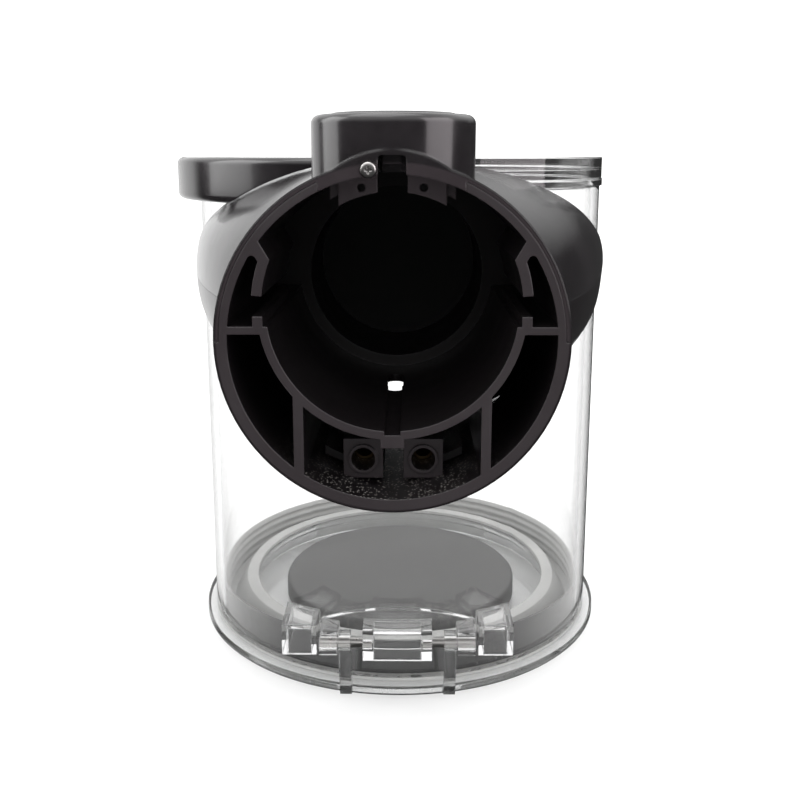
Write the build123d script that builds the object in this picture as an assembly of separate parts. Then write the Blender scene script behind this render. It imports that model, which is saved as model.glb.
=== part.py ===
"""Clear cyclone dust bin with a black wand socket, in millimetres.

The bin's axis is Z, the underside of the closed lid is z = 0 and the socket's nose points along -Y.
Distances called "forward" are measured from the bin's axis towards the nose, so y = -forward.
"""
import os
from math import copysign, cos, pi, sin, sqrt

from build123d import *

# Clear bin
bin_radius = 49.6
bin_wall = 2.0
rim_height = 118.0
rim_band = 6.6
rim_bead_height = 1.6
rim_bead = 0.55
rim_collar = 0.4
rim_step = 0.8
rim_seat_depth = 2.6

# Lid and its seals
flange_overhang = 2.3
flange_height = 2.4
flange_edge = 0.6
gasket_height = 0.8
plug_height = 5.8
plug_clearance = 4.1
plug_taper = 3.5
plug_wall = 1.5
seal_thickness = 1.4
pad_radius = 30.7
pad_height = 5.1
pad_skin = 2.0
pad_edge = 0.7
pad_rib_wall = 1.6
foot_band_rise = 0.3
foot_band_height = 8.4
foot_band_wall = 1.0

# Front hinge
hinge_stand_off = 3.9
hinge_height = 14.0
hinge_pin_radius = 1.1
knuckle_radius = 2.7
centre_box_half = 7.5
centre_box_front = 2.5
arm_inner = 10.2
arm_width = 2.6
knuckle_width = 3.8
side_box_inner = 17.7
side_box_width = 7.6
hinge_box_bottom = 11.0
hinge_box_height = 7.0
hinge_box_wall = 1.2
hinge_pin_grip = 2.0
hinge_plate = 1.2
hinge_plate_half = 17.4
hinge_plate_spring = 16.1
hinge_plate_crown = 20.4

# Snap tongue at the back of the lid
tongue_width = 12.0
tongue_height = 11.0
tongue_wall = 1.5
catch_height = 8.2
catch_depth = 0.9

# Nose and socket
socket_drop = 26.2
socket_radius = 26.05
nose_length = 59.0
ring_wall = 2.0
cover_skin = 0.75
inner_ring_wall = 1.2
flare_wall = 1.6
saddle_grip = 0.1
saddle_half_height = 25.4
saddle_rise = 0.2
saddle_back = 12.0
saddle_power = 2.4
waist_power = 2.2
oval_points = 24
shoulder_setback = 18.1
shoulder_taper = 4.3
waist_ahead = 5.9
neck_ahead = 30.4
bulkhead_gap = 0.2

# Wand seat inside the socket
bore_rise = 4.9
bore_radius = 18.3
trough_wall = 1.3
rib_drop = 2.6
rib_wall = 1.15
rib_stub = 1.5
rib_stub_length = 30.0
upright_offset = 13.9
upright_wall = 1.5
hook_inner_radius = 18.9
hook_wall = 1.5
hook_top_angle = 22.0
hook_tip_angle = 5.5
hook_neck_width = 1.6
hook_neck_angle = 60.0
hook_slot_radius = 0.65
keyway_width = 2.4
keyway_depth = 0.6
key_tab_width = 3.5
key_tab_height = 1.3
drain_width = 2.8
drain_length = 10.0
drain_setback = 32.1
bulkhead_ahead = 12.4
bulkhead_wall = 2.0
light_window_width = 5.0
light_window_height = 5.0

# Inlet sleeve, its gasket and the one-way flap
seat_radius = 16.2
sleeve_wall = 1.2
sleeve_reach = 9.6
gasket_width = 1.5
gasket_thickness = 1.2
flap_overlap = 0.6
flap_thickness = 1.5
flap_pin_radius = 0.8
flap_knuckle_radius = 1.6
flap_ear_width = 2.2
flap_half_width = 8.0

# Button tower
tower_radius = 12.5
tower_rise = 6.4
tower_wall = 1.45
tower_edge = 1.3
tower_floor = 1.3
keystone_half = 10.5
arch_rise = 27.5
arch_spring = 22.8
arch_half = 10.4
window_width = 4.0
window_corner = 0.6
window_above_floor = 0.1
window_depth = 18.6
comb_setback = 6.0
comb_length = 6.0
comb_inner = 2.2
comb_outer = 8.0
comb_tab = 1.4
comb_radius = 16.5
comb_hole_radius = 0.6
comb_hole_offset = 4.6

# Release button
button_radius = 9.6
button_flange = 1.0
button_flange_height = 1.1
button_cap = 1.6
button_proud = 0.3
bezel_height = 1.4
blade_width = 2.8
blade_length = 8.0
blade_drop = 1.2
spring_radius = 7.2
spring_wire = 0.35
spring_turns = 2.5

# Electrical contacts
contact_offset = 4.7
contact_drop = 20.0
contact_width = 6.2
contact_block_height = 6.4
contact_setback = 7.5
contact_length = 12.0
contact_bore_radius = 1.85
contact_rim = 0.5
contact_wall = 0.5
contact_recess = 5.0
contact_hanger = 1.0
wing_reach = 3.2
wing_wall = 1.2
wing_inset = 0.85

# Dark collar on the front left of the rim
collar_stand = 5.2
collar_height = 9.6
collar_wall = 1.6
collar_start_angle = 12.0
collar_end_angle = 96.0
collar_edge = 1.4

# Screws
screw_radius = 1.2
screw_head_radius = 2.1
screw_head_height = 1.2
screw_length = 7.0
cover_screw_offset = 29.0
cover_screw_ahead = 4.4
boss_radius = 2.9
boss_land = 4.0
tower_screw_offset = 3.3
tower_screw_drop = 1.4
tower_screw_radius = 1.15
tower_screw_length = 5.0
tower_screw_head = 0.8

# Clearances
seat_gap = 0.05
running_gap = 0.05
moving_gap = 0.3

# Places that follow from the sizes above
inner_radius = bin_radius - bin_wall
flange_radius = bin_radius + flange_overhang
plug_foot_radius = inner_radius - plug_clearance
plug_top_radius = plug_foot_radius - plug_taper
saddle_half_width = bin_radius + saddle_grip
shoulder_forward = bin_radius - shoulder_setback
waist_forward = bin_radius + waist_ahead
bulkhead_forward = bin_radius + bulkhead_ahead
neck_forward = bin_radius + neck_ahead
nose_reach = bin_radius + nose_length
drain_forward = nose_reach - drain_setback
window_back = nose_reach - window_depth
comb_forward = nose_reach - comb_setback
sleeve_inside = bin_radius - sleeve_reach
cover_screw_forward = bin_radius + cover_screw_ahead
wall_foot = flange_height + gasket_height
socket_z = rim_height - socket_drop
bore_z = socket_z + bore_rise
rib_z = bore_z - rib_drop
ring_inner = socket_radius - ring_wall
cover_inner = socket_radius - cover_skin
upper_ring_outer = cover_inner - seat_gap
upper_ring_inner = upper_ring_outer - inner_ring_wall
sleeve_radius = seat_radius + sleeve_wall
hole_radius = sleeve_radius + moving_gap
gasket_radius = sleeve_radius + gasket_width
hinge_forward = bin_radius + hinge_stand_off
tower_forward = nose_reach - tower_radius
tower_top = rim_height + tower_rise
tower_floor_z = socket_z + cover_inner + tower_floor
tower_bore = tower_radius - tower_wall
flap_pin_z = bore_z + seat_radius + flap_overlap
flap_front = sleeve_inside - 2 * seat_gap
flap_pin_forward = flap_front - flap_thickness - flap_knuckle_radius / 2
contact_z = socket_z - contact_drop
contact_forward = nose_reach - contact_setback
saddle_z = socket_z + saddle_rise


def front(forward):
    """Plane that faces the nose, with X across and Z up."""
    return Plane.XZ.offset(forward)


def bar(sketch, back, ahead):
    """Prism of an X-Z sketch between two forward distances."""
    return extrude(front(back) * sketch, amount=ahead - back)


def rod_y(radius, back, ahead, x, z):
    return bar(Pos(x, z) * Circle(radius), back, ahead)


def rod_x(radius, x0, x1, forward, z):
    return Pos((x0 + x1) / 2, -forward, z) * Rot(0, 90, 0) * Cylinder(radius, x1 - x0)


def rod_z(radius, z0, z1, x, forward):
    return Pos(x, -forward, (z0 + z1) / 2) * Cylinder(radius, z1 - z0)


def block(x0, x1, back, ahead, z0, z1):
    centre = Pos((x0 + x1) / 2, -(back + ahead) / 2, (z0 + z1) / 2)
    return centre * Box(x1 - x0, ahead - back, z1 - z0)


def mirrored(solid):
    """The solid and its mirror image across the nose's middle plane."""
    return solid + mirror(solid, about=Plane.YZ)


def turned(points):
    """Solid of revolution of a closed outline of radius and height."""
    outline = make_face(Plane.XZ * Polyline(*points, close=True))
    return revolve(outline, axis=Axis.Z)


def ring_segment(points, rounded, edge, start, sweep):
    """Part of a turned ring with some corners rounded, from a start angle right of the nose."""
    outline = make_face(Plane.XZ * Polyline(*points, close=True))
    corners = [outline.vertices().sort_by_distance((r, 0, z))[0] for r, z in rounded]
    outline = fillet(corners, edge)
    return revolve(Rot(0, 0, start - 90) * outline, axis=Axis.Z, revolution_arc=sweep)


def tube_section(outer, inner, z):
    return Pos(0, z) * (Circle(outer) - Circle(inner))


def above(z):
    return Pos(0, z + rim_height / 2) * Rectangle(4 * rim_height, rim_height)


def below(z):
    return Pos(0, z - rim_height / 2) * Rectangle(4 * rim_height, rim_height)


def make_bin_shell():
    band_foot = rim_height - rim_band
    bead_top = band_foot + rim_bead_height
    shell = turned([
        (inner_radius, wall_foot),
        (bin_radius, wall_foot),
        (bin_radius, band_foot),
        (bin_radius + rim_bead, band_foot),
        (bin_radius + rim_bead, bead_top),
        (bin_radius + rim_collar, bead_top),
        (bin_radius + rim_collar, rim_height),
        (inner_radius + rim_step, rim_height),
        (inner_radius + rim_step, rim_height - rim_seat_depth),
        (inner_radius, rim_height - rim_seat_depth),
    ])
    shell -= rod_y(hole_radius, 0, bin_radius + rim_bead, 0, bore_z)
    gasket_land = rod_y(gasket_radius + seat_gap, 0, bin_radius + rim_bead, 0, bore_z)
    shell -= gasket_land - bin_core(bin_radius)
    box_top = hinge_box_bottom + hinge_box_height
    box_ahead = hinge_forward + centre_box_front
    arch = make_face(
        Polyline((-hinge_plate_half, hinge_plate_spring), (-hinge_plate_half, hinge_box_bottom),
                 (hinge_plate_half, hinge_box_bottom), (hinge_plate_half, hinge_plate_spring))
        + ThreePointArc((hinge_plate_half, hinge_plate_spring), (0, hinge_plate_crown),
                        (-hinge_plate_half, hinge_plate_spring)))
    plate_ring = bin_core(bin_radius + hinge_plate) - bin_core(bin_radius - bin_wall / 2)
    shell += bar(arch, 0, 2 * bin_radius) & plate_ring
    wall = hinge_box_wall
    boxes = block(-centre_box_half, centre_box_half, inner_radius - bin_wall, box_ahead,
                  hinge_box_bottom, box_top)
    core_half = centre_box_half - hinge_pin_grip - moving_gap
    boxes -= block(-core_half, core_half, 0, box_ahead - wall, 0, box_top - wall)
    side_box_outer = side_box_inner + side_box_width
    side_box = block(side_box_inner, side_box_outer, inner_radius - side_box_width, hinge_forward,
                     hinge_box_bottom, box_top)
    side_box -= block(side_box_inner + wall, side_box_outer - wall, 0, hinge_forward - wall, 0, box_top - wall)
    knuckle_x = arm_inner + arm_width + moving_gap
    knuckle = rod_x(knuckle_radius, knuckle_x, knuckle_x + knuckle_width, hinge_forward, hinge_height)
    web = block(knuckle_x, knuckle_x + knuckle_width, inner_radius - bin_wall, hinge_forward,
                hinge_height - knuckle_radius, hinge_height + knuckle_radius)
    boxes += mirrored(side_box + knuckle + web)
    boxes -= Pos(0, 0, rim_height / 2) * Cylinder(inner_radius + bin_wall / 2, rim_height)
    shell += boxes
    shell -= mirrored(rod_x(hinge_pin_radius + running_gap, centre_box_half - hinge_pin_grip - seat_gap,
                            knuckle_x + knuckle_width, hinge_forward, hinge_height))
    catch = block(-tongue_width / 2, tongue_width / 2, -bin_radius - catch_depth, -inner_radius,
                  catch_height - catch_depth, catch_height)
    catch -= Pos(0, 0, rim_height / 2) * Cylinder(inner_radius + bin_wall / 2, rim_height)
    return shell + catch


def make_bottom_lid():
    plug_top = flange_height + plug_height
    rib_radius = pad_radius - pad_skin - seat_gap
    rib_top = flange_height + pad_height - pad_skin
    lid = turned([
        (0, 0),
        (flange_radius - flange_edge, 0),
        (flange_radius, flange_edge),
        (flange_radius, flange_height),
        (plug_foot_radius, flange_height),
        (plug_top_radius, plug_top),
        (plug_top_radius - plug_wall, plug_top),
        (plug_foot_radius - 2 * plug_wall, flange_height),
        (rib_radius, flange_height),
        (rib_radius, rib_top),
        (rib_radius - pad_rib_wall, rib_top),
        (rib_radius - pad_rib_wall, flange_height),
        (0, flange_height),
    ])
    arm_back = bin_radius - moving_gap
    outline = make_face(Plane.YZ * Polyline(
        (-arm_back, flange_edge),
        (-flange_radius, flange_edge),
        (-hinge_forward - knuckle_radius, hinge_height),
        (-hinge_forward + knuckle_radius, hinge_height),
        close=True))
    arm = Pos(arm_inner, 0, 0) * extrude(outline, amount=arm_width, dir=(1, 0, 0))
    arm += rod_x(knuckle_radius, arm_inner, arm_inner + arm_width, hinge_forward, hinge_height)
    arm -= rod_x(hinge_pin_radius + running_gap, 0, 2 * arm_inner, hinge_forward, hinge_height)
    lid += mirrored(arm)
    tongue_back = bin_radius + catch_depth + moving_gap
    tongue = block(-tongue_width / 2, tongue_width / 2, -tongue_back - tongue_wall, -tongue_back,
                   flange_height / 2, tongue_height)
    nose_foot = catch_height + moving_gap
    tongue += block(-tongue_width / 2, tongue_width / 2, -tongue_back, -tongue_back + moving_gap / 3,
                    nose_foot, nose_foot + tongue_wall)
    return lid + tongue


def make_lid_seal_ring():
    plug_top = flange_height + plug_height
    return turned([
        (plug_foot_radius + seat_gap, flange_height),
        (bin_radius, flange_height),
        (bin_radius, wall_foot),
        (plug_foot_radius + seal_thickness, wall_foot),
        (plug_top_radius + seal_thickness, plug_top + gasket_height),
        (plug_top_radius - plug_wall, plug_top + gasket_height),
        (plug_top_radius - plug_wall, plug_top),
        (plug_top_radius + seat_gap, plug_top),
    ])


def make_foot_seal_band():
    outer = inner_radius - seat_gap
    inner = outer - foot_band_wall
    foot = wall_foot + foot_band_rise
    top = foot + foot_band_height
    return turned([
        (outer, foot),
        (outer - foot_band_wall / 2, foot),
        (inner, foot + foot_band_wall),
        (inner, top - foot_band_wall / 2),
        (outer - foot_band_wall / 2, top),
        (outer, top),
    ])


def make_centre_seal_pad():
    top = flange_height + pad_height
    return turned([
        (0, top - pad_skin),
        (pad_radius - pad_skin, top - pad_skin),
        (pad_radius - pad_skin, flange_height),
        (pad_radius, flange_height),
        (pad_radius, top - pad_edge),
        (pad_radius - pad_edge, top),
        (0, top),
    ])


def make_lid_hinge_pin():
    inner = centre_box_half - hinge_pin_grip
    outer = arm_inner + arm_width + moving_gap + knuckle_width
    pin = rod_x(hinge_pin_radius, inner, outer, hinge_forward, hinge_height)
    return Compound(children=[pin, mirror(pin, about=Plane.YZ)])


def full_oval(half_width, half_height, power):
    """Face with an outline fuller than an ellipse, which it becomes at a power of 2."""
    points = []
    for step in range(oval_points):
        across = cos(2 * pi * step / oval_points)
        up = sin(2 * pi * step / oval_points)
        points.append((copysign(half_width * abs(across) ** (2 / power), across),
                       copysign(half_height * abs(up) ** (2 / power), up)))
    return make_face(Spline(*points, periodic=True))


def nose_loft(inset):
    """Nose from its wide saddle on the bin to the round neck, shrunk by a wall."""
    waist_z = (saddle_z + socket_z) / 2
    stations = [
        (saddle_back, saddle_z, saddle_half_width, saddle_half_height, saddle_power),
        (shoulder_forward, saddle_z, saddle_half_width - shoulder_taper, saddle_half_height, saddle_power),
        (waist_forward, waist_z, (socket_radius + saddle_half_width) / 2,
         (socket_radius + saddle_half_height) / 2, waist_power),
    ]
    sections = []
    for forward, z, half_width, half_height, power in stations:
        sections.append(front(forward) * Pos(0, z) * full_oval(half_width - inset, half_height - inset, power))
    sections.append(front(neck_forward) * Pos(0, socket_z) * Circle(socket_radius - inset))
    return loft(sections)


def bin_core(radius):
    return Pos(0, 0, rim_height / 2) * Cylinder(radius, 2 * rim_height)


def guide_hooks(ring):
    """Adds a hook to each side of the upper ring's section: a neck leaning in and a leg round the bore."""
    centre = Vector(0, bore_z)
    reach = Vector(2 * socket_radius, 0)
    wedge = make_face(Polyline(
        centre,
        centre + reach.rotate(Axis.Z, hook_tip_angle),
        centre + reach.rotate(Axis.Z, hook_top_angle),
        close=True))
    leg = tube_section(hook_inner_radius + hook_wall, hook_inner_radius, bore_z) & wedge
    shoulder = centre + Vector(hook_inner_radius, 0).rotate(Axis.Z, hook_top_angle)
    neck = Pos(shoulder.X, shoulder.Y) * Rot(0, 0, hook_neck_angle) * Rectangle(
        socket_radius, hook_neck_width, align=(Align.MIN, Align.MAX))
    hook = leg + (neck & Pos(0, socket_z) * Circle(upper_ring_inner + inner_ring_wall / 2))
    hooked = ring + hook + mirror(hook, about=Plane.YZ)
    neck_foot = shoulder + Vector(0, -hook_neck_width).rotate(Axis.Z, hook_neck_angle)
    slot_top = neck_foot + Vector(hook_neck_width, 0).rotate(Axis.Z, hook_neck_angle)
    corners = [hooked.vertices().sort_by_distance((side * slot_top.X, slot_top.Y, 0))[0] for side in (-1, 1)]
    return fillet(corners, hook_slot_radius)


def make_nose_frame():
    face = nose_reach
    shell = nose_loft(0) - nose_loft(flare_wall)
    shell += bar(tube_section(socket_radius, ring_inner, socket_z), neck_forward, face)
    shell &= bar(below(socket_z), 0, face)
    ring = tube_section(upper_ring_outer, upper_ring_inner, socket_z) & above(socket_z)
    ring -= Pos(0, socket_z + socket_radius) * Rectangle(2 * (keystone_half + seat_gap), socket_radius)
    ring = guide_hooks(ring)
    trough = tube_section(bore_radius + trough_wall, bore_radius, bore_z) & below(rib_z)
    inside = Pos(0, socket_z) * Circle(ring_inner + seat_gap)
    outside_bore = inside - Pos(0, bore_z) * Circle(bore_radius + trough_wall / 2)
    ribs = Pos(0, rib_z - rib_wall / 2) * Rectangle(2 * socket_radius, rib_wall)
    upright = Rectangle(upright_wall, socket_radius, align=(Align.CENTER, Align.MAX))
    for side in (-1, 1):
        ribs += Pos(side * upright_offset, rib_z - rib_wall) * upright
    ribs &= outside_bore
    tab = Pos(0, bore_z - bore_radius - trough_wall / 2) * Rectangle(
        key_tab_width, key_tab_height + trough_wall / 2, align=(Align.CENTER, Align.MAX))
    frame = shell + bar(trough + ribs, bulkhead_forward, face) + bar(ring, neck_forward, face)
    frame += bar(tab, drain_forward + drain_length / 2 + trough_wall, face)
    stub_x = sqrt(bore_radius ** 2 - rib_drop ** 2) + trough_wall / 2
    stub = block(stub_x, stub_x + rib_stub, face - rib_stub_length, face,
                 rib_z - rib_wall / 2, rib_z + rib_stub)
    frame += mirrored(stub)
    bulkhead = nose_loft(flare_wall + bulkhead_gap) & block(
        -bin_radius, bin_radius, bulkhead_forward, bulkhead_forward + bulkhead_wall, 0, rim_height)
    frame += bulkhead
    gasket_face = bin_radius + seat_gap + gasket_thickness
    flange = rod_y(gasket_radius, 0, bulkhead_forward + bulkhead_wall, 0, bore_z)
    flange &= nose_loft(flare_wall + bulkhead_gap)
    frame += flange - bin_core(gasket_face)
    frame += rod_y(sleeve_radius, sleeve_inside, bulkhead_forward, 0, bore_z)
    frame -= rod_y(seat_radius, 0, bulkhead_forward + bulkhead_wall, 0, bore_z)
    outside_wall = bin_core(bin_radius + seat_gap) - rod_y(sleeve_radius, sleeve_inside, face, 0, bore_z)
    frame -= outside_wall
    groove = block(-keyway_width / 2, keyway_width / 2, drain_forward, face,
                   bore_z - bore_radius - keyway_depth, bore_z)
    slot = Pos(0, -drain_forward, bore_z) * SlotOverall(drain_length, drain_width, rotation=90)
    drain = extrude(slot, amount=-bore_radius - 2 * trough_wall)
    window_z = bore_z - bore_radius - light_window_height
    light = block(-light_window_width / 2, light_window_width / 2, bulkhead_forward - bulkhead_wall,
                  bulkhead_forward + 2 * bulkhead_wall, window_z - light_window_height / 2,
                  window_z + light_window_height / 2)
    frame -= groove
    frame -= drain
    frame -= light
    ear_x = flap_half_width + moving_gap
    ear = block(ear_x, ear_x + flap_ear_width, flap_pin_forward - flap_knuckle_radius,
                sleeve_inside + sleeve_wall, flap_pin_z - flap_knuckle_radius, flap_pin_z + flap_knuckle_radius)
    frame += mirrored(ear)
    frame -= rod_x(flap_pin_radius + running_gap, -2 * ear_x, 2 * ear_x, flap_pin_forward, flap_pin_z)
    for side in (-1, 1):
        x = side * cover_screw_offset
        boss = rod_z(boss_radius, 0, socket_z, x, cover_screw_forward) & nose_loft(flare_wall / 2)
        frame += boss
        frame -= rod_z(screw_head_radius + seat_gap, 0, socket_z - boss_land, x, cover_screw_forward)
        frame -= rod_z(screw_radius + seat_gap, 0, socket_z, x, cover_screw_forward)
    return frame


def make_nose_cover():
    face = nose_reach
    shell = nose_loft(0) - nose_loft(flare_wall)
    shell += bar(tube_section(socket_radius, cover_inner, socket_z), neck_forward, face)
    shell &= bar(above(socket_z + seat_gap), 0, face)
    shell -= bin_core(bin_radius + rim_bead + seat_gap)
    tower = rod_z(tower_radius, socket_z, tower_top, 0, tower_forward)
    tower = fillet(tower.edges().group_by(Axis.Z)[-1], tower_edge)
    tower -= rod_y(cover_inner, 0, face, 0, socket_z)
    arch = make_face(
        Polyline((-arch_half, arch_spring), (-arch_half, 0), (arch_half, 0), (arch_half, arch_spring))
        + ThreePointArc((arch_half, arch_spring), (0, arch_rise), (-arch_half, arch_spring)))
    keystone = Pos(0, socket_z) * arch
    keystone += (Pos(0, socket_z) * Circle(cover_inner + cover_skin / 2)
                 & Pos(0, socket_z + socket_radius) * Rectangle(2 * keystone_half, socket_radius))
    keystone -= Pos(0, socket_z) * Circle(upper_ring_inner)
    cover = shell + tower + bar(keystone, tower_forward - tower_radius, face)
    comb = Pos(0, socket_z) * Circle(cover_inner) - Pos(0, bore_z) * Circle(comb_radius)
    half = (comb_inner + comb_outer) / 2
    comb &= Pos(half, bore_z + bore_radius) * Rectangle(comb_outer - comb_inner, bore_radius)
    tab = Pos(0, socket_z) * Circle(cover_inner) - Pos(0, bore_z) * Circle(comb_radius + comb_tab)
    tab &= Pos(comb_outer + comb_tab / 2, bore_z + bore_radius) * Rectangle(comb_tab, bore_radius)
    combs = mirrored(bar(comb, comb_forward - comb_length, comb_forward)
                     + bar(tab, comb_forward - comb_length, comb_forward - comb_length / 3))
    hole_z = bore_z + comb_radius + comb_hole_radius
    for side in (-1, 1):
        combs -= rod_y(comb_hole_radius, comb_forward - comb_length / 2, comb_forward,
                       side * comb_hole_offset, hole_z)
    cover += combs
    cover -= rod_z(tower_bore, tower_floor_z, tower_top, 0, tower_forward)
    window_height = tower_floor_z + window_above_floor - socket_z
    window = Pos(0, socket_z) * Rectangle(window_width, window_height, align=(Align.CENTER, Align.MIN))
    window = fillet(window.vertices().group_by(Axis.Y)[-1], window_corner)
    cover -= bar(window, window_back, face)
    seam = socket_z + seat_gap
    for side in (-1, 1):
        x = side * cover_screw_offset
        boss = rod_z(boss_radius, seam, rim_height, x, cover_screw_forward) & nose_loft(flare_wall / 2)
        cover += boss
        cover -= rod_z(screw_radius + seat_gap, seam, seam + screw_length, x, cover_screw_forward)
    cover -= rod_y(tower_screw_radius + seat_gap, face - tower_screw_length, face, -tower_screw_offset,
                   socket_z + socket_radius - tower_screw_drop)
    return cover


def make_inlet_gasket():
    ring = rod_y(gasket_radius, 0, bulkhead_forward, 0, bore_z)
    ring -= rod_y(sleeve_radius + seat_gap, 0, bulkhead_forward, 0, bore_z)
    ring &= bin_core(bin_radius + gasket_thickness)
    return ring - bin_core(bin_radius + seat_gap) - block(
        -bin_radius, bin_radius, -bin_radius, 0, 0, rim_height)


def make_inlet_flap():
    flap = rod_y(seat_radius + flap_overlap, flap_front - flap_thickness, flap_front, 0, bore_z)
    flap -= block(-bin_radius, bin_radius, 0, bin_radius, flap_pin_z - flap_knuckle_radius, rim_height)
    hinge = rod_x(flap_knuckle_radius, -flap_half_width, flap_half_width, flap_pin_forward, flap_pin_z)
    hinge += block(-flap_half_width, flap_half_width, flap_pin_forward, flap_front,
                   flap_pin_z - 2 * flap_knuckle_radius, flap_pin_z)
    flap += hinge
    return flap - rod_x(flap_pin_radius + running_gap, -flap_half_width, flap_half_width,
                        flap_pin_forward, flap_pin_z)


def make_flap_pin():
    half = flap_half_width + moving_gap + flap_ear_width
    return rod_x(flap_pin_radius, -half, half, flap_pin_forward, flap_pin_z)


def make_contact_block(side):
    x = side * contact_offset
    half = contact_width / 2
    back = contact_forward - contact_length
    solid = block(x - half, x + half, back, contact_forward,
                  contact_z - contact_block_height / 2, contact_z + contact_block_height / 2)
    solid &= rod_y(ring_inner - seat_gap, back, contact_forward, 0, socket_z)
    edge = contact_offset + half
    ends = sorted([side * edge, side * (edge - contact_hanger)])
    hanger_ahead = contact_forward - contact_setback / 2
    hanger = block(ends[0], ends[1], back, hanger_ahead, contact_z, bore_z)
    solid += hanger - rod_y(bore_radius + trough_wall + seat_gap, 0, nose_reach, 0, bore_z)
    wing_outer = ring_inner - wing_inset
    wing = bar(tube_section(wing_outer, wing_outer - wing_wall, socket_z), back, hanger_ahead)
    ends = sorted([side * (edge - contact_hanger), side * (edge + wing_reach)])
    solid += wing & block(ends[0], ends[1], back, contact_forward, 0, contact_z + contact_block_height / 2)
    solid += rod_y(contact_bore_radius + contact_rim, back, contact_forward + contact_rim, x, contact_z)
    return solid - rod_y(contact_bore_radius, back, contact_forward + contact_rim, x, contact_z)


def make_contact_socket(side):
    x = side * contact_offset
    ahead = contact_forward - contact_recess
    outer = contact_bore_radius - seat_gap
    back = contact_forward - contact_length
    sleeve = rod_y(outer, back, ahead, x, contact_z)
    return sleeve - rod_y(outer - contact_wall, back + contact_wall, ahead, x, contact_z)


def make_release_button():
    top = tower_top + button_proud
    flange_top = tower_top - bezel_height - button_flange - seat_gap
    flange_foot = flange_top - button_flange_height
    cap = rod_z(button_radius, flange_foot, top, 0, tower_forward)
    cap = fillet(cap.edges().group_by(Axis.Z)[-1], button_cap / 3)
    cap += rod_z(button_radius + button_flange, flange_foot, flange_top, 0, tower_forward)
    cap -= rod_z(button_radius - button_flange, flange_foot, top - button_cap, 0, tower_forward)
    blade = block(-blade_width / 2, blade_width / 2, tower_forward - blade_length / 4,
                  tower_forward + 3 * blade_length / 4, tower_floor_z - blade_drop, top - button_cap)
    return cap + blade


def make_button_bezel():
    foot = tower_top - bezel_height - button_flange
    top = tower_top - button_flange
    ring = rod_z(tower_bore - seat_gap, foot, top, 0, tower_forward)
    return ring - rod_z(button_radius + moving_gap, foot, top, 0, tower_forward)


def make_button_spring():
    foot = tower_floor_z + spring_wire + seat_gap
    head = tower_top + button_proud - button_cap - spring_wire - seat_gap
    path = Helix(pitch=(head - foot) / spring_turns, height=head - foot, radius=spring_radius)
    start = Plane(origin=path @ 0, z_dir=path % 0)
    coil = sweep(start * RegularPolygon(spring_wire, 6), path=path)
    return Pos(0, -tower_forward, foot) * coil


def make_tower_screw():
    z = socket_z + socket_radius - tower_screw_drop
    shank = rod_y(tower_screw_radius, nose_reach - tower_screw_length, nose_reach, -tower_screw_offset, z)
    head = rod_y(tower_screw_radius, nose_reach, nose_reach + tower_screw_head, -tower_screw_offset, z)
    head = fillet(head.edges().group_by(Axis.Y)[0], tower_screw_head / 2)
    return shank + head


def make_cover_screws():
    screws = []
    for side in (-1, 1):
        x = side * cover_screw_offset
        under = socket_z - boss_land
        screw = rod_z(screw_radius, under, under + boss_land + screw_length, x, cover_screw_forward)
        screw += rod_z(screw_head_radius, under - screw_head_height, under, x, cover_screw_forward)
        screws.append(screw)
    return Compound(children=screws)


def make_side_collar():
    inner = bin_radius + rim_bead + seat_gap
    outer = bin_radius + collar_stand
    foot = rim_height - collar_height
    channel = ring_segment([
        (bin_radius + rim_collar + seat_gap, rim_height),
        (bin_radius + rim_collar + seat_gap, rim_height - collar_wall),
        (outer - collar_wall, rim_height - collar_wall),
        (outer - collar_wall, foot + collar_wall),
        (inner, foot + collar_wall),
        (inner, foot),
        (outer, foot),
        (outer, rim_height),
    ], [(outer, foot), (outer, rim_height)], collar_edge,
        -collar_end_angle, collar_end_angle - collar_start_angle)
    return channel - nose_loft(-moving_gap)


pieces = {
    "bin_shell": make_bin_shell(),
    "bottom_lid": make_bottom_lid(),
    "lid_seal_ring": make_lid_seal_ring(),
    "foot_seal_band": make_foot_seal_band(),
    "centre_seal_pad": make_centre_seal_pad(),
    "lid_hinge_pin": make_lid_hinge_pin(),
    "nose_frame": make_nose_frame(),
    "nose_cover": make_nose_cover(),
    "inlet_gasket": make_inlet_gasket(),
    "inlet_flap": make_inlet_flap(),
    "flap_pin": make_flap_pin(),
    "contact_block_left": make_contact_block(-1),
    "contact_block_right": make_contact_block(1),
    "contact_socket_left": make_contact_socket(-1),
    "contact_socket_right": make_contact_socket(1),
    "release_button": make_release_button(),
    "button_bezel": make_button_bezel(),
    "button_spring": make_button_spring(),
    "tower_screw": make_tower_screw(),
    "cover_screws": make_cover_screws(),
    "side_collar": make_side_collar(),
}

os.makedirs("parts", exist_ok=True)
for name, piece in pieces.items():
    export_step(piece, f"parts/{name}.step")
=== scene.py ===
"""Looks of the clear cyclone dust bin: clear plastic, black mouldings, rubber and metal.

The frame gives every place. Lengths are in metres, the bin's axis is Z and the nose points
along -Y.
"""
from math import cos, pi, radians, sin

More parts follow.
